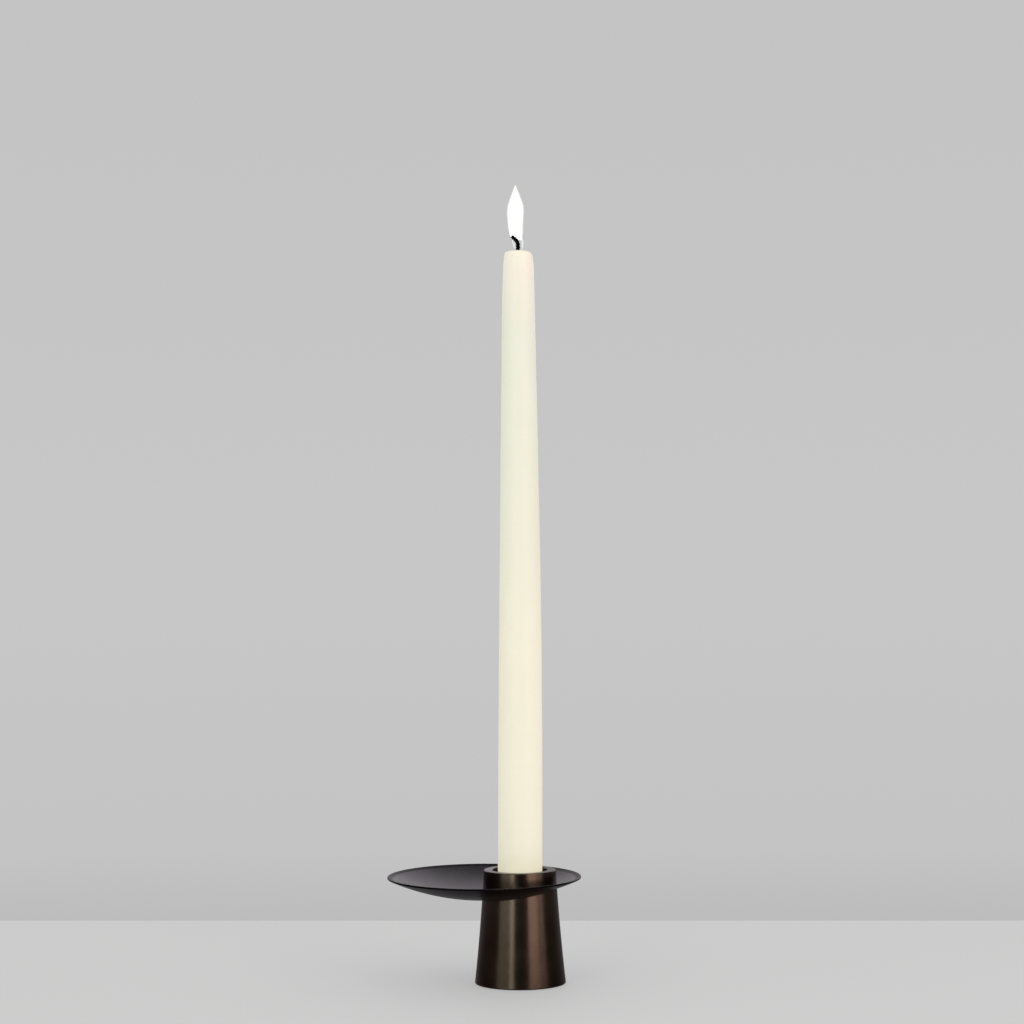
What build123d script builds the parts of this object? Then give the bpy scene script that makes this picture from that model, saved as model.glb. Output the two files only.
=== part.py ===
from build123d import *

import os
from math import asin, atan, cos, degrees, hypot, radians, sin, sqrt, tan

# Holder for one taper candle: a tapered metal stem that stands through an off-centre round drip dish.
# All sizes are in millimetres. +Z is up, and the origin is on the table, on the stem's axis.
# Every turned piece is drawn as (radius, height) corners and revolved about the stem's axis.

# Stem: one long taper from foot to mouth, very slightly hollow in profile
stem_height = 58.9
stem_foot_radius = 23.56  # where the side's line would reach the table
stem_top_radius = 18.55
stem_hollow = 0.4  # how far the side bows inwards, half way up
stem_clearance = 0.4  # the felt holds the metal this far off the table
stem_wall = 3.4
foot_rounding = 0.5
mouth_rounding = 0.45

# Mouth of the stem, where the cup drops in
mouth_radius = 14.2
mouth_depth = 4.5
throat_radius = 13.2
throat_length = 8.0

# Drip dish: a spun cap of a sphere, pierced off its centre
dish_offset = -18.4
dish_radius = 50.0
dish_bottom = 44.0
dish_depth = 11.6
dish_sheet = 1.0
dish_hole_clearance = 0.05
braze_leg = 0.5

# Candle cup: a flange that hangs in the mouth, a socket for the candle and a tapped boss
cup_flange_radius = 14.1
cup_flange_thickness = 1.6
cup_radius = 13.1
cup_bore_radius = 11.75
cup_bottom = 33.5
cup_floor = 2.5
cup_lead_in = 0.9
boss_radius = 6.0
boss_length = 7.9
tapped_depth = 7.4

# Closing of the foot: felt, pressed plate, ballast
felt_thickness = 1.6
felt_radius = 21.0
plate_thickness = 1.5
plate_radius = 21.6
rebate_radius = 21.7
well_radius = 7.4
well_depth = 5.5
well_rounding = 0.7
ballast_gap = 0.25
ballast_relief_clearance = 0.6
ballast_bore_radius = 3.6
ballast_chamfer = 1.0

# M6 x 25 clamp screw, with a spring lock washer under its head
screw_radius = 3.0
screw_length = 25.0
screw_hole_radius = 3.3
head_radius = 5.2
head_height = 3.6
head_rounding = 1.2
hex_key_across_flats = 4.0
hex_key_depth = 2.2
washer_radius = 5.9
washer_bore_radius = 3.1
washer_thickness = 1.4
washer_split = 1.0
washer_split_tilt = 20.0

# Candle: 23 mm across at the foot, a long curve into a straight taper, a low melted dome
candle_radius = 11.45
candle_bottom_chamfer = 0.8
candle_straight_top = 75.0
candle_curve_top = 245.0
candle_taper = 0.0157  # fall of the radius per millimetre of height
candle_shoulder = 375.9
candle_top = 378.1
candle_dome_bulge = 0.6

# Wick: runs the candle's full length, leans over above the wax and turns up again in the flame
wick_radius = 0.95
wick_lean = ((0, 381.9), (-3.6, 385.8), (-4.0, 390.7))

screw_seat = felt_thickness + well_depth
seat_height = stem_height - mouth_depth
candle_bottom = cup_bottom + cup_floor


def stem_radius(height):
    """Radius of the stem's outside at a height."""
    share = height / stem_height
    straight = stem_foot_radius + (stem_top_radius - stem_foot_radius) * share
    return straight - 4 * stem_hollow * share * (1 - share)


def cavity_radius(height):
    """Radius of the hollow inside the stem at a height."""
    return stem_radius(height) - stem_wall


def turned(*corners):
    """Solid of revolution about the stem's axis, from (radius, height) corners."""
    return revolve(make_face(Plane.XZ * Polyline(*corners, close=True)), Axis.Z, 360)


def rings(shape, radius, height):
    """The circular edges of a turned shape at a radius and a height."""
    near = 0.01
    level = shape.edges().filter_by(GeomType.CIRCLE).filter_by_position(Axis.Z, height - near, height + near)
    return [edge for edge in level if abs(edge.radius - radius) < near]


def stem_side(bottom, allowance=0.0):
    """Profile of the stem's outside from a height to its top, grown by an allowance."""
    heights = (bottom, (bottom + stem_height) / 2, stem_height)
    return ThreePointArc(*[(stem_radius(height) + allowance, height) for height in heights])


def make_stem_shell():
    """Turned body: taper outside, mouth and throat at the top, open hollow and a rebate at the foot."""
    throat_bottom = seat_height - throat_length
    ledge = felt_thickness + plate_thickness
    bore = Polyline(
        (stem_top_radius, stem_height),
        (mouth_radius, stem_height),
        (mouth_radius, seat_height),
        (throat_radius, seat_height),
        (throat_radius, throat_bottom),
        (cavity_radius(throat_bottom), throat_bottom),
        (cavity_radius(ledge), ledge),
        (rebate_radius, ledge),
        (rebate_radius, stem_clearance),
        (stem_radius(stem_clearance), stem_clearance),
    )
    section = Curve() + [stem_side(stem_clearance), bore]
    shell = revolve(make_face(Plane.XZ * section), Axis.Z, 360)
    shell = fillet(rings(shell, stem_radius(stem_clearance), stem_clearance), foot_rounding)
    mouth_edges = rings(shell, stem_top_radius, stem_height) + rings(shell, mouth_radius, stem_height)
    return fillet(mouth_edges, mouth_rounding)


# The dish's middle surface is part of a sphere that ends in a rounded lip half a sheet in radius.
dish_middle_reach = dish_radius - dish_sheet / 2
dish_middle_rise = dish_depth - dish_sheet
dish_half_angle = 2 * atan(dish_middle_rise / dish_middle_reach)
dish_sphere_radius = dish_middle_reach / sin(dish_half_angle)
dish_sphere_height = dish_bottom + dish_sheet / 2 + dish_sphere_radius


def on_dish(distance, angle):
    """Point in the dish's own section, at a distance from the sphere's centre and an angle from its axis."""
    return (distance * sin(angle), dish_sphere_height - distance * cos(angle))


def make_drip_dish():
    """Spun sheet cap with a rounded lip, pierced where the stem's taper passes through it."""
    outside = dish_sphere_radius + dish_sheet / 2
    inside = dish_sphere_radius - dish_sheet / 2
    lip_angle = dish_half_angle + dish_sheet / 2 / dish_sphere_radius
    section = Curve() + [
        ThreePointArc(
            on_dish(outside, 0), on_dish(outside, dish_half_angle / 2), on_dish(outside, dish_half_angle)
        ),
        ThreePointArc(
            on_dish(outside, dish_half_angle),
            on_dish(dish_sphere_radius, lip_angle),
            on_dish(inside, dish_half_angle),
        ),
        ThreePointArc(
            on_dish(inside, dish_half_angle), on_dish(inside, dish_half_angle / 2), on_dish(inside, 0)
        ),
        Line(on_dish(inside, 0), on_dish(outside, 0)),
    ]
    cap = Pos(dish_offset, 0, 0) * revolve(make_face(Plane.XZ * section), Axis.Z, 360)
    return cap - stem_taper(dish_hole_clearance)


def stem_taper(allowance):
    """The stem's taper as a full solid from the table to its top, grown by an allowance."""
    side = stem_side(0, allowance)
    core = Polyline(side @ 1, (0, stem_height), (0, 0), side @ 0)
    return revolve(make_face(Plane.XZ * (Curve() + [side, core])), Axis.Z, 360)


def make_braze_ring():
    """Bead of braze in the corner between the dish's underside and the stem."""
    underside = dish_sphere_radius + dish_sheet / 2
    centre = Pos(dish_offset, 0, dish_sphere_height)
    skin = centre * Sphere(underside + braze_leg) - centre * Sphere(underside)
    band = stem_taper(braze_leg) - stem_taper(0)
    return (skin & band).solids()[0]


def make_candle_cup():
    """Turned cup: flange, candle socket with a lead-in, closed floor, and a blind tapped boss below."""
    flange_top = seat_height + cup_flange_thickness
    boss_bottom = cup_bottom - boss_length
    tapped_top = boss_bottom + tapped_depth
    cup = turned(
        (0, tapped_top),
        (screw_radius, tapped_top),
        (screw_radius, boss_bottom),
        (boss_radius, boss_bottom),
        (boss_radius, cup_bottom),
        (cup_radius, cup_bottom),
        (cup_radius, seat_height),
        (cup_flange_radius, seat_height),
        (cup_flange_radius, flange_top),
        (cup_bore_radius, flange_top),
        (cup_bore_radius, candle_bottom),
        (0, candle_bottom),
    )
    return chamfer(rings(cup, cup_bore_radius, flange_top), cup_lead_in)


def make_ballast_weight():
    """Cast slug that fills the foot of the hollow, bored for the screw and relieved over the plate's well."""
    bottom = felt_thickness + plate_thickness
    top = cup_bottom - boss_length
    relief_radius = well_radius + plate_thickness + ballast_relief_clearance
    relief_top = screw_seat + plate_thickness + ballast_relief_clearance
    slug = turned(
        (ballast_bore_radius, relief_top),
        (relief_radius, relief_top),
        (relief_radius, bottom),
        (cavity_radius(bottom) - ballast_gap, bottom),
        (cavity_radius(top) - ballast_gap, top),
        (ballast_bore_radius, top),
    )
    rims = rings(slug, cavity_radius(bottom) - ballast_gap, bottom)
    rims += rings(slug, cavity_radius(top) - ballast_gap, top)
    return chamfer(rims, ballast_chamfer)


def make_base_plate():
    """Pressed steel disc with a raised well that leaves room below for the screw's head."""
    under = felt_thickness
    over = under + plate_thickness
    well_outside = well_radius + plate_thickness
    plate = turned(
        (screw_hole_radius, screw_seat),
        (well_radius, screw_seat),
        (well_radius, under),
        (plate_radius, under),
        (plate_radius, over),
        (well_outside, over),
        (well_outside, screw_seat + plate_thickness),
        (screw_hole_radius, screw_seat + plate_thickness),
    )
    bends = rings(plate, well_radius, under) + rings(plate, well_outside, screw_seat + plate_thickness)
    return fillet(bends, well_rounding)


def make_clamp_screw():
    """Button-head screw that points up, with a hexagon socket in its head."""
    head_top = screw_seat - washer_thickness
    head_bottom = head_top - head_height
    screw = turned(
        (0, head_bottom),
        (head_radius, head_bottom),
        (head_radius, head_top),
        (screw_radius, head_top),
        (screw_radius, head_top + screw_length),
        (0, head_top + screw_length),
    )
    screw = fillet(rings(screw, head_radius, head_bottom), head_rounding)
    socket = RegularPolygon(hex_key_across_flats / 2, 6, major_radius=False)
    return screw - Pos(0, 0, head_bottom) * extrude(socket, hex_key_depth)


def make_lock_washer():
    """Spring washer with a slanted split."""
    bottom = screw_seat - washer_thickness
    washer = turned(
        (washer_bore_radius, bottom),
        (washer_radius, bottom),
        (washer_radius, screw_seat),
        (washer_bore_radius, screw_seat),
    )
    middle = (washer_bore_radius + washer_radius) / 2
    split = Box(2 * (washer_radius - washer_bore_radius), washer_split, 2 * washer_thickness)
    return washer - Pos(middle, 0, bottom + washer_thickness / 2) * Rot(washer_split_tilt, 0, 0) * split


def make_foot_pad():
    """Felt disc glued under the plate, proud of the stem's lower edge."""
    return turned((0, 0), (felt_radius, 0), (felt_radius, felt_thickness), (0, felt_thickness))


def make_candle():
    """Taper candle with its wick's channel: straight foot, long arc into a taper, low dome."""
    curve_radius = (candle_curve_top - candle_straight_top) / sin(candle_taper)
    curve = JernArc(
        (candle_radius, candle_straight_top), (0, 1), curve_radius, degrees(asin(candle_taper))
    )
    shoulder_radius = (curve @ 1).X - candle_taper * (candle_shoulder - candle_curve_top)
    dome_middle = (
        (shoulder_radius + wick_radius) / 2,
        (candle_shoulder + candle_top) / 2 + candle_dome_bulge,
    )
    section = Curve() + [
        Polyline(
            (wick_radius, candle_top),
            (wick_radius, candle_bottom),
            (candle_radius - candle_bottom_chamfer, candle_bottom),
            (candle_radius, candle_bottom + candle_bottom_chamfer),
            (candle_radius, candle_straight_top),
        ),
        curve,
        Line(curve @ 1, (shoulder_radius, candle_shoulder)),
        ThreePointArc((shoulder_radius, candle_shoulder), dome_middle, (wick_radius, candle_top)),
    ]
    return revolve(make_face(Plane.XZ * section), Axis.Z, 360)


def make_candle_wick():
    """Wick as one round cord: straight in the wax, then two bends as large as their runs allow."""
    corners = [(0, candle_bottom), *wick_lean]
    runs = [Vector(*end) - Vector(*start) for start, end in zip(corners, corners[1:])]
    arc_share = 0.45
    radii = [
        arc_share * min(before.length, after.length) / tan(radians(before.get_angle(after)) / 2)
        for before, after in zip(runs, runs[1:])
    ]
    path = FilletPolyline(*[(x, 0, z) for x, z in corners], radius=radii)
    return sweep(Pos(0, 0, candle_bottom) * Circle(wick_radius), path)


parts = {
    "stem_shell": make_stem_shell(),
    "drip_dish": make_drip_dish(),
    "dish_braze_ring": make_braze_ring(),
    "candle_cup": make_candle_cup(),
    "ballast_weight": make_ballast_weight(),
    "base_plate": make_base_plate(),
    "clamp_screw": make_clamp_screw(),
    "lock_washer": make_lock_washer(),
    "foot_pad": make_foot_pad(),
    "candle": make_candle(),
    "candle_wick": make_candle_wick(),
}

os.makedirs("parts", exist_ok=True)
for name, part in parts.items():
    export_step(part, f"parts/{name}.step")
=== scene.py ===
import math

import bpy
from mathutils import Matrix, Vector, noise


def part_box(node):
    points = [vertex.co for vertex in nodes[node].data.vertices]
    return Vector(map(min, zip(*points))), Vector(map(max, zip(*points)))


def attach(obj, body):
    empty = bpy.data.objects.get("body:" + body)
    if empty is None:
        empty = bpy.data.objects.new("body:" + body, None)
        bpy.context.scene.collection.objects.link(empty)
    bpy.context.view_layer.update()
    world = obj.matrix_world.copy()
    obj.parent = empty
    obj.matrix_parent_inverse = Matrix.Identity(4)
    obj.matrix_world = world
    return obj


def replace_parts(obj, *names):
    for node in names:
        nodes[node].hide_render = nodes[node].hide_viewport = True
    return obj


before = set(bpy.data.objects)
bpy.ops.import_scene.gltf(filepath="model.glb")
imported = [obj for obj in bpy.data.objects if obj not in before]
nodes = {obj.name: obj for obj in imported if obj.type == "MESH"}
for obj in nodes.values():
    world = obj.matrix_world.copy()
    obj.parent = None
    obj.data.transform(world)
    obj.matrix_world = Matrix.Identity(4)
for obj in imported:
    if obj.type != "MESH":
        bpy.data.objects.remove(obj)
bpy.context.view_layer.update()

# Looks of a taper-candle holder: bronzed and plated metal on the CAD solids, and the wax, the wick, the flame
# and the felt as meshes of their own. Everything is in metres, in the frame's axes: +Z up, the stem on the Z
# axis, the table at Z = 0. Lists of (place, value) points are in millimetres where they say so.

MM = 0.001
stem_low, stem_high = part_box("stem_shell")
dish_low, dish_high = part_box("drip_dish")
candle_low, candle_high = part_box("candle")
felt_low, felt_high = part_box("foot_pad")
dish_centre = (dish_low + dish_high) / 2


# ---------------------------------------------------------------- meshes

def new_piece(name, vertices, faces, material, body, slot):
    """A smooth mesh piece that rides on a body and takes the given material; the slot argument is not used.
    """
    mesh = bpy.data.meshes.new(name)
    mesh.from_pydata(vertices, [], faces)
    mesh.materials.append(material)
    mesh.polygons.foreach_set("use_smooth", [True] * len(mesh.polygons))
    mesh.update()
    piece = bpy.data.objects.new(name, mesh)
    bpy.context.scene.collection.objects.link(piece)
    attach(piece, body)
    return piece


def skin(rings, first_tip, last_tip):
    """Vertices and faces of a closed skin over rings of equal length, with a point at each end."""
    count = len(rings[0])
    vertices = [first_tip] + [point for ring in rings for point in ring] + [last_tip]
    faces = []
    for step in range(count):
        after = (step + 1) % count
        faces.append((0, 1 + after, 1 + step))
        for level in range(len(rings) - 1):
            low, high = 1 + level * count, 1 + (level + 1) * count
            faces.append((low + step, low + after, high + after, high + step))
        last = 1 + (len(rings) - 1) * count
        faces.append((last + step, last + after, len(vertices) - 1))
    return vertices, faces


def circle(centre, radius, count, waver=0.0, grain=1.0):
    """A level ring of points, its radius varied by smooth noise of a given size and grain."""
    points = []
    for step in range(count):
        angle = 2 * math.pi * step / count
        out = Vector((math.cos(angle), math.sin(angle), 0))
        swell = waver * noise.noise((centre + out * radius) / grain)
        points.append(centre + out * (radius + swell))
    return points


def tilted(ring, centre, tilt):
    """The ring with its points lifted in proportion to how far to the right of its centre they are."""
    return [point + Vector((0, 0, tilt * (point.x - centre.x))) for point in ring]


def curve_through(points, at):
    """Value at a place of a smooth curve through (place, value) points, held level beyond its ends."""
    places = [place for place, _ in points]
    if at <= places[0]:
        return points[0][1]
    if at >= places[-1]:
        return points[-1][1]
    index = max(step for step in range(len(points) - 1) if places[step] <= at)

    def slope(step):
        before, after = points[max(step - 1, 0)], points[min(step + 1, len(points) - 1)]
        return (after[1] - before[1]) / (after[0] - before[0])

    (low, first), (high, second) = points[index], points[index + 1]
    span = high - low
    share = (at - low) / span
    rise = first + (second - first) * share * share * (3 - 2 * share)
    bend = slope(index) * share * (1 - share) ** 2 - slope(index + 1) * share * share * (1 - share)
    return rise + bend * span


# ---------------------------------------------------------------- materials

class Nodes:
    """A node tree under construction."""

    def __init__(self, tree):
        self.tree = tree

    def node(self, kind, inputs=None, **settings):
        """Adds a node, sets its settings, and feeds its inputs with values or other nodes' sockets."""
        made = self.tree.nodes.new(kind)
        for key, value in settings.items():
            setattr(made, key, value)
        for key, value in (inputs or {}).items():
            self.feed(made.inputs[key], value)
        return made

    def feed(self, socket, value):
        """Links another node's socket to this one, or sets a plain value on it."""
        if isinstance(value, bpy.types.NodeSocket):
            self.tree.links.new(value, socket)
        else:
            socket.default_value = value

    def spread(self, value, low, high, start=0.0, end=1.0):
        """Maps a value from start..end to low..high, without overshoot."""
        made = self.node(
            "ShaderNodeMapRange",
            {"Value": value, "From Min": start, "From Max": end, "To Min": low, "To Max": high},
        )
        return made.outputs["Result"]

    def ramp(self, value, low, high, stops):
        """Colour that runs through rising (place, colour) stops as a value goes from low to high."""
        made = self.node("ShaderNodeValToRGB", {"Fac": self.spread(value, 0, 1, low, high)})
        elements = made.color_ramp.elements
        for index, (place, colour) in enumerate(stops):
            stop = elements[index] if index < 2 else elements.new(1.0)
            stop.position = (place - low) / (high - low)
            stop.color = (*colour, 1)
        return made.outputs["Color"]

    def maths(self, operation, first, second=0.0):
        """Result of an operation on one or two values."""
        made = self.node("ShaderNodeMath", {0: first, 1: second}, operation=operation)
        return made.outputs[0]


class Shader(Nodes):
    """A node material under construction, with object coordinates that are the frame's own metres."""

    def __init__(self, name):
        self.material = bpy.data.materials.new(name)
        self.material.use_nodes = True
        super().__init__(self.material.node_tree)
        self.surface = self.tree.nodes["Principled BSDF"]
        self.place = self.node("ShaderNodeTexCoord").outputs["Object"]

    def set(self, **values):
        """Sets the surface's inputs by name, with underscores for spaces."""
        for key, value in values.items():
            self.feed(self.surface.inputs[key.replace("_", " ")], value)

    def noise(self, scale, detail=4.0, roughness=0.55, place=None, stretch=(1, 1, 1)):
        """Noise with a feature size of about 1 / scale metres, stretched along the axes."""
        scaled = self.node("ShaderNodeMapping", {"Vector": place or self.place, "Scale": stretch})
        made = self.node(
            "ShaderNodeTexNoise",
            {"Vector": scaled.outputs[0], "Scale": scale, "Detail": detail, "Roughness": roughness},
        )
        return made.outputs["Fac"]

    def rings(self, centre, scale):
        """Noise that changes only with the distance from a vertical axis."""
        offset = self.node("ShaderNodeVectorMath", {0: self.place, 1: centre}, operation="SUBTRACT")
        level = self.node("ShaderNodeVectorMath", {0: offset.outputs[0], 1: (1, 1, 0)}, operation="MULTIPLY")
        reach = self.node("ShaderNodeVectorMath", {0: level.outputs[0]}, operation="LENGTH")
        made = self.node(
            "ShaderNodeTexNoise",
            {"W": reach.outputs["Value"], "Scale": scale, "Detail": 3.0},
            noise_dimensions="1D",
        )
        return made.outputs["Fac"]

    def mix(self, factor, first, second):
        """Colour between first and second."""
        made = self.node("ShaderNodeMix", data_type="RGBA")
        self.feed(made.inputs["Factor"], factor)
        self.feed(made.inputs[6], first)
        self.feed(made.inputs[7], second)
        return made.outputs[2]

    def height(self):
        """The point's height above the table."""
        return self.node("ShaderNodeSeparateXYZ", {0: self.place}).outputs["Z"]

    def across(self):
        """The point's place along the X axis."""
        return self.node("ShaderNodeSeparateXYZ", {0: self.place}).outputs["X"]

    def bump(self, height, distance, strength=1.0, onto=None):
        """Normal that follows a height map, over an earlier bump if there is one."""
        inputs = {"Height": height, "Distance": distance, "Strength": strength}
        if onto is not None:
            inputs["Normal"] = onto
        return self.node("ShaderNodeBump", inputs).outputs["Normal"]


def bronze(name, dark, light, turning, zones=None, roughness=(0.2, 0.3)):
    """Dark patina on turned metal: cloudy tones, turning marks, and zones of another colour and roughness."""
    shader = Shader(name)
    clouds = shader.noise(45, detail=5)
    specks = shader.noise(420, detail=3)
    marks = turning(shader)
    tone = shader.spread(clouds, 0, 1, 0.35, 0.65)
    for grain in (specks, marks):
        tone = shader.maths("ADD", tone, shader.spread(grain, -0.12, 0.12, 0.3, 0.7))
    colour = shader.mix(tone, dark, light)
    low, high = roughness
    rough = shader.maths("ADD", shader.spread(clouds, low, high, 0.3, 0.7), shader.spread(marks, -0.02, 0.02))
    for where, zone_colour, more_rough in zones(shader, specks) if zones else ():
        colour = shader.mix(where, colour, zone_colour)
        rough = shader.maths("ADD", rough, shader.maths("MULTIPLY", where, more_rough))
    fine = shader.bump(marks, 0.005 * MM)
    shader.set(
        Base_Color=colour,
        Metallic=1.0,
        Roughness=rough,
        Normal=shader.bump(specks, 0.010 * MM, onto=fine),
    )
    return shader.material


def stem_turning(shader):
    """Turning marks of the stem: they circle it, so they change with height alone."""
    return shader.noise(1, detail=3, stretch=(12, 12, 2600))


def dish_turning(shader):
    """Spinning marks of the dish, round its own centre."""
    return shader.rings((dish_centre.x, dish_centre.y, 0), 1500)


def cup_turning(shader):
    """Turning marks on the cup and its flange, round the stem's axis."""
    return shader.rings((0, 0, 0), 2500)


def stem_zones(shader, specks):
    """The stem made paler higher up as painted light, its paler speckled foot edge, painted shade low on its
    right side, and its faced mouth, lighter to the left as a painted highlight.
    """
    height = shader.height()
    # painted light: the stem is paler higher up, to brighten the softboxes' reflections towards the top
    painted_light_upper = shader.spread(height, 0, 0.6, 12 * MM, 42 * MM)
    # painted shade: darker low on the right side, to dim the reflections towards the foot
    painted_shade_right = shader.spread(shader.across(), 0, 0.6, -2 * MM, 8 * MM)
    painted_shade_right = shader.maths("MULTIPLY", painted_shade_right, shader.spread(height, 1, 0, 2 * MM, 28 * MM))
    foot = shader.spread(height, 1, 0, stem_low.z + 0.2 * MM, stem_low.z + 0.9 * MM)
    foot = shader.maths("MULTIPLY", foot, shader.spread(specks, 0.0, 0.35, 0.45, 0.65))
    face = shader.spread(height, 0, 1, stem_high.z - 0.25 * MM, stem_high.z - 0.05 * MM)
    # painted highlight: the mouth's dark face is lighter towards the left, mottled by the specks
    painted_highlight_left = shader.spread(shader.across(), 1, 0, -15 * MM, -4 * MM)
    painted_highlight_left = shader.maths("MULTIPLY", painted_highlight_left, shader.spread(specks, 0.7, 1.0, 0.35, 0.6))
    face_colour = shader.mix(painted_highlight_left, (0.018, 0.016, 0.016, 1), (0.20, 0.18, 0.195, 1))
    return (
        (painted_light_upper, (0.163, 0.115, 0.087, 1), 0.0),
        (painted_shade_right, (0.040, 0.030, 0.024, 1), 0.0),
        (foot, (0.16, 0.115, 0.08, 1), 0.0),
        (face, face_colour, 0.05),
    )


def dish_zones(shader, specks):
    """The dish's lip, blacker and duller than the hollow."""
    ragged = shader.maths("ADD", shader.height(), shader.spread(specks, -0.12 * MM, 0.12 * MM, 0.3, 0.7))
    lip = shader.spread(ragged, 0, 1, dish_high.z - 1.15 * MM, dish_high.z - 0.75 * MM)
    return ((lip, (0.012, 0.010, 0.012, 1), 0.12),)


def plated_steel():
    """Zinc plate on pressed and turned steel, bluish, with a faint spangle."""
    shader = Shader("zinc_plate")
    spangle = shader.node("ShaderNodeTexVoronoi", {"Vector": shader.place, "Scale": 700.0})
    haze = shader.noise(160, detail=4)
    shader.set(
        Base_Color=shader.mix(haze, (0.42, 0.43, 0.45, 1), (0.60, 0.60, 0.59, 1)),
        Metallic=1.0,
        Roughness=shader.spread(spangle.outputs["Distance"], 0.28, 0.45),
        Normal=shader.bump(haze, 0.01 * MM),
    )
    return shader.material


def cast_iron():
    """Grey paint over a sand-cast skin."""
    shader = Shader("painted_cast_iron")
    skin_grain = shader.noise(900, detail=6, roughness=0.7)
    stain = shader.noise(70, detail=3)
    shader.set(
        Base_Color=shader.mix(stain, (0.030, 0.030, 0.032, 1), (0.075, 0.072, 0.070, 1)),
        Roughness=shader.spread(skin_grain, 0.55, 0.8),
        Normal=shader.bump(skin_grain, 0.15 * MM),
    )
    return shader.material


def wool_felt():
    """Black wool felt: matted fibres, a little sheen."""
    shader = Shader("black_felt")
    fibres = shader.noise(1, detail=8, roughness=0.75, stretch=(2600, 2600, 5200))
    lumps = shader.noise(500, detail=3)
    shader.set(
        Base_Color=shader.mix(fibres, (0.008, 0.008, 0.009, 1), (0.045, 0.044, 0.046, 1)),
        Roughness=0.95,
        Sheen_Weight=0.35,
        Sheen_Roughness=0.5,
        Normal=shader.bump(fibres, 0.25 * MM, onto=shader.bump(lumps, 0.2 * MM)),
    )
    return shader.material


def ivory_wax():
    """Ivory wax: light scatters in it, its emission by height is painted light, and its skin has shallow
    dipping ripples.
    """
    shader = Shader("ivory_wax")
    clouds = shader.noise(55, detail=4, stretch=(1, 1, 0.35))
    bloom = shader.noise(650, detail=4)
    ripples = shader.noise(1, detail=2, stretch=(25, 25, 220))
    tone = shader.maths("ADD", shader.spread(clouds, 0, 1, 0.35, 0.65), shader.spread(bloom, -0.15, 0.15))
    share = shader.spread(shader.height(), 0, 1, stem_high.z, candle_high.z)
    # painted light: emission by height over the whole wax; a dimmer, yellower band at the mouth is painted
    # shade, the body just above it is lifted against the dish's shade, and the top is brighter and pinker as
    # painted flame light
    wax_painted_light = shader.ramp(share, 0, 1, [
        (0.0, (0.37, 0.35, 0.275)), (0.034, (0.41, 0.388, 0.345)), (0.11, (0.382, 0.36, 0.33)),
        (0.37, (0.362, 0.345, 0.322)), (0.63, (0.30, 0.313, 0.308)), (0.87, (0.295, 0.307, 0.318)),
        (0.97, (0.365, 0.32, 0.34)), (1.0, (0.378, 0.334, 0.34)),
    ])
    shader.set(
        Base_Color=shader.mix(tone, (0.49, 0.468, 0.335, 1), (0.515, 0.49, 0.36, 1)),
        Subsurface_Weight=0.35,
        Subsurface_Radius=(1.0, 0.75, 0.45),
        Subsurface_Scale=4 * MM,
        Roughness=shader.spread(bloom, 0.38, 0.52),
        Specular_IOR_Level=0.35,
        Emission_Color=wax_painted_light,
        Emission_Strength=1.0,
        Normal=shader.bump(ripples, 0.08 * MM, onto=shader.bump(bloom, 0.01 * MM)),
    )
    return shader.material


def charred_cotton():
    """Wick burnt black, with a trace of ash where the threads stand out."""
    shader = Shader("charred_wick")
    threads = shader.noise(1, detail=5, stretch=(3000, 3000, 900))
    ash = shader.spread(threads, 0, 1, 0.55, 0.8)
    shader.set(
        Base_Color=shader.mix(ash, (0.0006, 0.0006, 0.0006, 1), (0.010, 0.009, 0.008, 1)),
        Roughness=0.95,
        Specular_IOR_Level=0.02,
        Normal=shader.bump(threads, 0.08 * MM),
    )
    return shader.material


def flame_glow(name, strength, opacity):
    """Burning gas of the flame's body or rim: an even white glow, a little warmer in its folds."""
    shader = Shader(name)
    wisps = shader.noise(1, detail=2, stretch=(400, 400, 120))
    shader.set(
        Base_Color=(0, 0, 0, 1),
        Roughness=1.0,
        Specular_IOR_Level=0.0,
        Emission_Color=shader.mix(wisps, (1.0, 0.985, 0.93, 1), (1.0, 1.0, 0.985, 1)),
        Emission_Strength=strength,
        Alpha=opacity,
    )
    return shader.material


def mantle_glow():
    """Thin veil of burning gas round the wick: all but clear, and faintly bright on its two sides."""
    shader = Shader("flame_mantle")
    facing = shader.node("ShaderNodeSeparateXYZ", {0: shader.node("ShaderNodeNewGeometry").outputs["Normal"]})
    side = shader.maths("POWER", shader.maths("ABSOLUTE", facing.outputs["X"]), 4.0)
    shader.set(
        Base_Color=(0, 0, 0, 1),
        Roughness=1.0,
        Specular_IOR_Level=0.0,
        Emission_Color=(0.95, 0.97, 1.0, 1),
        Emission_Strength=1.0,
        Alpha=shader.spread(side, 0.0, 0.75),
    )
    return shader.material


def studio_floor():
    """Pale matt table top, mostly lit evenly, so that shadows on it stay soft and faint."""
    shader = Shader("pale_table")
    cloud = shader.noise(3, detail=3)
    shader.set(
        Base_Color=shader.mix(cloud, (0.232, 0.232, 0.232, 1), (0.25, 0.25, 0.25, 1)),
        Roughness=0.7,
        Specular_IOR_Level=0.2,
        Emission_Color=(0.358, 0.358, 0.358, 1),
        Emission_Strength=1.0,
    )
    return shader.material


# ---------------------------------------------------------------- metal on the CAD solids

def dress(material, *names):
    """Gives CAD nodes their material."""
    for name in names:
        nodes[name].material_slots[0].material = material


brown_dark = (0.070, 0.047, 0.034, 1)
brown_light = (0.125, 0.086, 0.062, 1)
violet_dark = (0.055, 0.051, 0.059, 1)
violet_light = (0.090, 0.083, 0.096, 1)
black_dark = (0.020, 0.017, 0.016, 1)
black_light = (0.050, 0.042, 0.036, 1)

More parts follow.
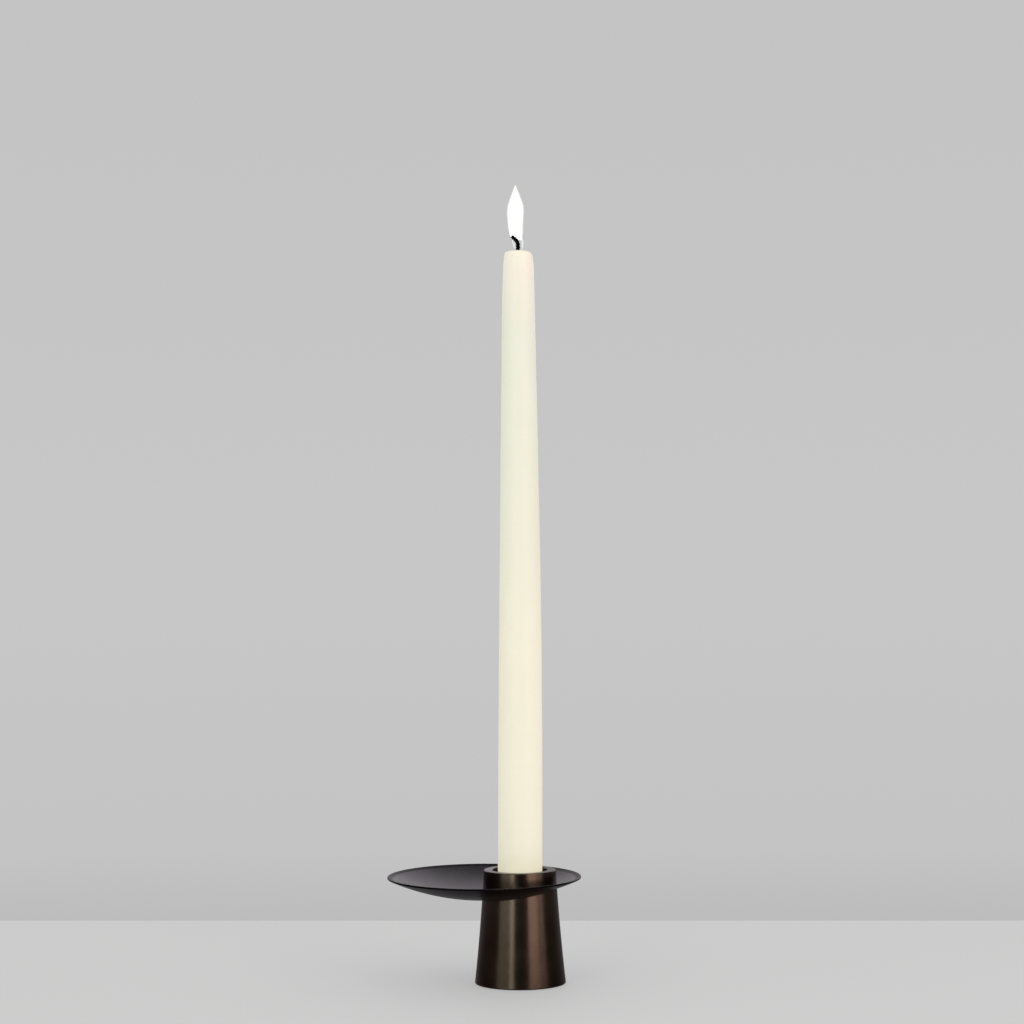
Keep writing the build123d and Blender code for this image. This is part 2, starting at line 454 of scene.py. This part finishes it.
dress(bronze("stem_bronze", brown_dark, brown_light, stem_turning, stem_zones, (0.2, 0.28)), "stem_shell")
dress(bronze("dish_bronze", violet_dark, violet_light, dish_turning, dish_zones), "drip_dish")
dress(bronze("cup_bronze", black_dark, black_light, cup_turning), "candle_cup")
dress(bronze("braze_bronze", black_dark, brown_dark, cup_turning, roughness=(0.35, 0.5)), "dish_braze_ring")
dress(plated_steel(), "base_plate", "clamp_screw", "lock_washer")
dress(cast_iron(), "ballast_weight")


# ---------------------------------------------------------------- candle

candle_radius = (candle_high.x - candle_low.x) / 2
taper_start = 75 * MM
taper_steady = 245 * MM
taper = 0.0157
dome_rise = 2.2 * MM
shoulder = candle_high.z - dome_rise
shoulder_tilt = -0.067

# millimetres: loss of radius by depth below the candle's top, and shift to the right by height
melting = [(0, 0.95), (2, 0.88), (5, 0.5), (8, 0.27), (14, 0.16), (28, 0.0)]
bow = [(40, 0.0), (60, 0.14), (180, 0.9), (280, 0.9), (345, 0.86), (378, 0.99)]


def wax_radius(height):
    """The candle's radius: straight foot, a long curve, then a steady taper, melted thinner at the top."""
    if height < taper_start:
        return candle_radius
    if height < taper_steady:
        return candle_radius - taper * (height - taper_start) ** 2 / (2 * (taper_steady - taper_start))
    melted = curve_through(melting, (candle_high.z - height) / MM) * MM
    return candle_radius - taper * (height - (taper_start + taper_steady) / 2) - melted


def candle_axis(height):
    """Centre of the candle at a height: it leans to the right in its cup and bows back near its top."""
    return Vector((curve_through(bow, height / MM) * MM, 0, height))


def make_candle(material):
    """Wax body: chamfered foot, straight and tapered sides, and a low melted dome that slopes to one side."""
    count = 128
    ring_step = 2.5 * MM
    grain = 22 * MM
    pool_rise = 0.83
    foot = candle_low.z
    top = wax_radius(shoulder)
    outline = [(foot, candle_radius - 0.8 * MM), (foot + 0.25 * MM, candle_radius - 0.35 * MM)]
    outline.append((foot + 0.8 * MM, candle_radius - 0.05 * MM))
    levels = int((shoulder - foot - ring_step) / ring_step)
    heights = [foot + (level + 1) * ring_step for level in range(levels)]
    outline += [(height, wax_radius(height)) for height in heights]
    # the dome, as shares of its foot's radius and of its rise
    dome = [(1.0, -0.05), (0.965, 0.25), (0.90, 0.47), (0.80, 0.64), (0.66, 0.80), (0.50, 0.92), (0.36, 0.99)]
    dome += [(0.27, 0.985), (0.21, 0.93), (0.16, 0.86), (0.08, pool_rise)]
    outline += [(shoulder + dome_rise * rise, top * reach) for reach, rise in dome]
    sway = [(60 * MM, 0.0), (90 * MM, 0.09 * MM), (shoulder, 0.09 * MM), (candle_high.z, 0.28 * MM)]
    slope = [(shoulder - 3 * MM, 0.0), (shoulder, shoulder_tilt), (candle_high.z, 0.0)]
    rings = []
    for height, radius in outline:
        centre = candle_axis(height)
        ring = circle(centre, radius, count, curve_through(sway, height), grain)
        tilt = curve_through(slope, height)
        rings.append(tilted(ring, centre, tilt))
    last_tip = candle_axis(shoulder + pool_rise * dome_rise)
    piece = new_piece("candle_wax", *skin(rings, candle_axis(foot), last_tip), material, "candle", "wax")
    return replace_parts(piece, "candle")


def rope(path, strands, strand_radius, offset, turn_length):
    """Vertices and faces of a rope: frayed strands wound about a path of close points, rounded at its end."""
    sides = 10
    fray, fray_grain = 0.35, 0.5 * MM
    rounded_steps, least_roundness = 7, 0.02
    aside = Vector((0.6, 1, 0))
    vertices, faces = [], []
    for strand in range(strands):
        along = 0.0
        rings = []
        for index, point in enumerate(path):
            ahead = path[min(index + 1, len(path) - 1)]
            behind = path[max(index - 1, 0)]
            along += (point - behind).length if index else 0.0
            tangent = (ahead - behind).normalized()
            side = tangent.cross(aside).normalized()
            other = tangent.cross(side)
            angle = 2 * math.pi * (along / turn_length + strand / strands)
            centre = point + (side * math.cos(angle) + other * math.sin(angle)) * offset
            left = min(1.0, (len(path) - 1 - index) / rounded_steps)
            radius = strand_radius * (1 + fray * noise.noise(centre / fray_grain))
            radius *= math.sqrt(max(least_roundness, left * (2 - left)))
            ring = []
            for step in range(sides):
                around = 2 * math.pi * step / sides
                ring.append(centre + (side * math.cos(around) + other * math.sin(around)) * radius)
            rings.append(ring)
        start = len(vertices)
        more, more_faces = skin(rings, sum(rings[0], Vector()) / sides, sum(rings[-1], Vector()) / sides)
        vertices += more
        faces += [tuple(start + corner for corner in face) for face in more_faces]
    return vertices, faces


wick_foot = candle_axis(candle_high.z)

# millimetres: the wick's shifts along X and along Y by rise above the wax, so that it leans left and forwards
wick_lean = [(-4.0, -0.2), (0.0, -0.2), (3.1, -0.25), (4.4, -0.8), (5.7, -1.9), (6.9, -3.6)]
wick_forward = [(3.0, 0.0), (4.4, -0.9), (5.7, -2.5), (6.9, -3.6)]


def make_wick(material):
    """Twisted wick: upright out of the wax, then bent over to the left and forwards, before the flame."""
    low, high = wick_lean[0][0], wick_lean[-1][0]
    steps = 90
    path = []
    for step in range(steps + 1):
        rise = low + (high - low) * step / steps
        lean = Vector((curve_through(wick_lean, rise), curve_through(wick_forward, rise), rise))
        path.append(wick_foot + lean * MM)
    vertices, faces = rope(path, strands=3, strand_radius=0.6 * MM, offset=0.53 * MM, turn_length=4.4 * MM)
    piece = new_piece("wick_cord", vertices, faces, material, "candle", "wick")
    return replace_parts(piece, "candle_wick")


def lathe(name, outline, sideways, slant, material, steps, waver):
    """Skin round the wick, with its rings' radius, shift and slant by rise above the wax, in millimetres."""
    count, grain = 64, 9 * MM
    low, high = outline[0][0], outline[-1][0]
    rings = []
    for step in range(1, steps):
        rise = low + (high - low) * (0.5 - 0.5 * math.cos(math.pi * step / steps))
        centre = wick_foot + Vector((curve_through(sideways, rise), 0, rise)) * MM
        ring = circle(centre, curve_through(outline, rise) * MM, count, waver, grain)
        rings.append(tilted(ring, centre, curve_through(slant, rise)))
    ends = [wick_foot + Vector((curve_through(sideways, rise), 0, rise)) * MM for rise in (low, high)]
    return new_piece(name, *skin(rings, *ends), material, "candle", "flame")


def make_flame():
    """Teardrop flame, cut off aslant below, with a soft rim, over a thin mantle that reaches the wax."""
    steps, waver = 72, 0.16 * MM
    inset, rim_width = 0.12, 0.42
    foot = [(6.0, 0.0), (6.08, 2.0), (6.3, 2.95), (7.2, 3.35), (9.4, 3.52)]
    body = [(13.4, 3.66), (17.3, 3.98), (20.2, 4.05), (22.4, 3.88), (24.0, 3.5)]
    body += [(27.9, 2.2), (30.7, 1.2), (32.4, 0.55)]
    tip = [(33.6, 0.0)]
    sideways = [(6.0, -1.1), (9.4, -1.35), (17.3, -1.5), (24.0, -1.4), (33.6, -1.4)]
    slant = [(6.0, -0.36), (9.0, -0.3), (15.0, 0.0)]
    core = [(rise, max(0.0, radius - inset)) for rise, radius in foot + body + tip]
    lathe("flame", core, sideways, slant, flame_glow("candle_flame", 1.25, 1.0), steps, waver)
    rim = [(8.2, 0.0), (9.0, 3.4)] + [(rise, radius + rim_width) for rise, radius in body] + [(34.1, 0.0)]
    lathe("flame_rim", rim, sideways, slant, flame_glow("flame_rim", 1.0, 0.22), steps, waver)
    mantle = [(0.6, 1.9), (1.4, 2.35), (3.5, 2.75), (5.6, 3.0), (7.6, 2.9)]
    mantle_shift = [(0.6, 0.1), (3.5, -0.15), (7.6, -0.8)]
    mantle_slant = [(3.0, 0.0), (7.6, -0.34)]
    lathe("flame_mantle", mantle, mantle_shift, mantle_slant, mantle_glow(), 16, 0.1 * MM)


make_candle(ivory_wax())
make_wick(charred_cotton())
make_flame()


# ---------------------------------------------------------------- foot

def make_felt(material):
    """Felt disc with soft cut edges and a slightly lumpy face."""
    count, lump, grain = 144, 0.12 * MM, 1.5 * MM
    radius = felt_high.x
    thick = felt_high.z - felt_low.z
    outline = [(0.0, share) for share in (0.2, 0.4, 0.6, 0.8, 0.9, 0.96)]
    outline += [(0.08, 0.985), (0.25, 0.997), (0.5, 1.0), (0.75, 0.997), (0.92, 0.985)]
    outline += [(1.0, share) for share in (0.96, 0.8, 0.5, 0.2)]
    rings = []
    for lift, share in outline:
        centre = Vector((0, 0, felt_low.z + thick * lift))
        rings.append(circle(centre, radius * share, count, lump, grain))
    ends = Vector((0, 0, felt_low.z)), Vector((0, 0, felt_high.z))
    piece = new_piece("foot_felt", *skin(rings, *ends), material, "holder", "felt")
    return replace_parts(piece, "foot_pad")


make_felt(wool_felt())


# ---------------------------------------------------------------- stage, light and camera

def make_table():
    """Pale table whose far edge is a little behind the holder, and not quite square to it."""
    middle, skew = 0.2198, -0.0367
    front, side, drop, bevel = -4.0, 3.0, 0.03, 0.002
    vertices, faces = [], []
    for x in (-side, side):
        back = middle + skew * x
        section = [(front, 0), (back - bevel, 0), (back, -bevel), (back, -drop), (front, -drop)]
        vertices += [(x, y, z) for y, z in section]
    count = len(section)
    for step in range(count):
        after = (step + 1) % count
        faces.append((step, step + count, after + count, after))
    mesh = bpy.data.meshes.new("table")
    mesh.from_pydata(vertices, [], faces)
    mesh.materials.append(studio_floor())
    table = bpy.data.objects.new("table", mesh)
    bpy.context.scene.collection.objects.link(table)
    table.visible_glossy = False


def grey(level):
    """A neutral colour."""
    return (level, level, level)


def make_world():
    """Grey wall for the camera, an even dome for matt surfaces, and a dark room and a screen for gloss."""
    world = bpy.data.worlds.new("studio")
    bpy.context.scene.world = world
    world.use_nodes = True
    world.cycles.sampling_method = "NONE"
    world.node_tree.nodes.clear()
    sky = Nodes(world.node_tree)
    direction = sky.node("ShaderNodeTexCoord").outputs["Generated"]
    towards = sky.node("ShaderNodeSeparateXYZ", {0: direction})
    right, back, up = towards.outputs["X"], towards.outputs["Y"], towards.outputs["Z"]

    # places on these three ramps are sines of the height above the horizon
    # the wall is darker towards its foot, as painted shade where it meets the table
    wall = sky.ramp(up, -0.16, 0.16, [
        (-0.146, grey(0.505)), (-0.137, grey(0.520)), (-0.123, grey(0.550)),
        (-0.03, grey(0.572)), (0.159, grey(0.548)),
    ])
    room = sky.ramp(up, -1.0, 1.0, [
        (-0.6, (0.065, 0.056, 0.068)), (-0.42, grey(0.12)), (-0.18, grey(0.2)), (-0.06, (0.07, 0.064, 0.072)),
        (0.02, (0.060, 0.042, 0.036)), (0.84, (0.06, 0.052, 0.055)), (0.96, grey(0.5)),
    ])
    screen = sky.ramp(up, -1.0, 1.0, [
        (-0.04, grey(0.0)), (0.05, grey(0.70)), (0.42, (0.74, 0.70, 0.76)), (0.62, (0.79, 0.76, 0.80)),
        (0.72, grey(0.62)), (0.82, grey(0.3)), (0.92, grey(0.08)),
    ])
    facing = sky.node(
        "ShaderNodeMapRange",
        {"Value": back, "From Min": 0.45, "From Max": 0.85},
        interpolation_type="SMOOTHSTEP",
    )
    share = sky.maths("MULTIPLY", facing.outputs[0], sky.spread(right, 0.62, 0.85, -0.25, 0.25))
    lit_screen = sky.node("ShaderNodeVectorMath", {0: screen, "Scale": share}, operation="SCALE")
    surroundings = sky.node("ShaderNodeVectorMath", {0: room, 1: lit_screen.outputs[0]}, operation="ADD")

    def light(colour):
        return sky.node("ShaderNodeBackground", {"Color": colour}).outputs[0]

    def either(kind_of_ray, otherwise, chosen):
        inputs = {0: ray.outputs[kind_of_ray], 1: otherwise, 2: chosen}
        return sky.node("ShaderNodeMixShader", inputs).outputs[0]

    ray = sky.node("ShaderNodeLightPath")
    unseen = either("Is Glossy Ray", light((*grey(0.86), 1)), light(surroundings.outputs[0]))
    sky.node("ShaderNodeOutputWorld", {"Surface": either("Is Camera Ray", unseen, light(wall))})


def softbox(name, bearing, spread, level, colour, low=0.0, high=1.7, distance=1.7):
    """Tall upright softbox of a given radiance, at a bearing from the front and spread degrees wide."""
    width = 2 * distance * math.tan(math.radians(spread) / 2)
    light = bpy.data.lights.new(name, "AREA")
    light.shape = "RECTANGLE"
    light.size, light.size_y = width, high - low
    light.energy = level * math.pi * width * (high - low)
    light.color = colour
    lamp = bpy.data.objects.new(name, light)
    bpy.context.scene.collection.objects.link(lamp)
    turn = math.radians(bearing)
    lamp.location = (distance * math.sin(turn), -distance * math.cos(turn), (low + high) / 2)
    lamp.rotation_euler = (math.pi / 2, 0, turn)
    lamp.visible_camera = False


def make_camera():
    """Camera 1.5 m in front of the holder, tipped slightly down and rolled by the holder's own small lean."""
    down, roll = 0.0083, 0.0055
    camera = bpy.data.cameras.new("camera")
    camera.lens = 102.3
    camera_object = bpy.data.objects.new("camera", camera)
    bpy.context.scene.collection.objects.link(camera_object)
    camera_object.location = (-0.00296, -1.5, 0.2558)
    camera_object.rotation_euler = (math.pi / 2 - down, roll, 0)
    bpy.context.scene.camera = camera_object


make_table()
make_world()
softbox("left_strip", bearing=-23.5, spread=10, level=3.2, colour=(0.86, 1.0, 0.97))
softbox("left_wide", bearing=-46, spread=32, level=0.93, colour=(0.88, 1.0, 0.93))
softbox("right_strip", bearing=38.5, spread=29.5, level=2.1, colour=(1.0, 0.86, 0.86))
softbox("right_wide", bearing=64, spread=18, level=1.1, colour=(1.0, 0.9, 0.88))
make_camera()
bpy.context.scene.view_settings.view_transform = "Standard"
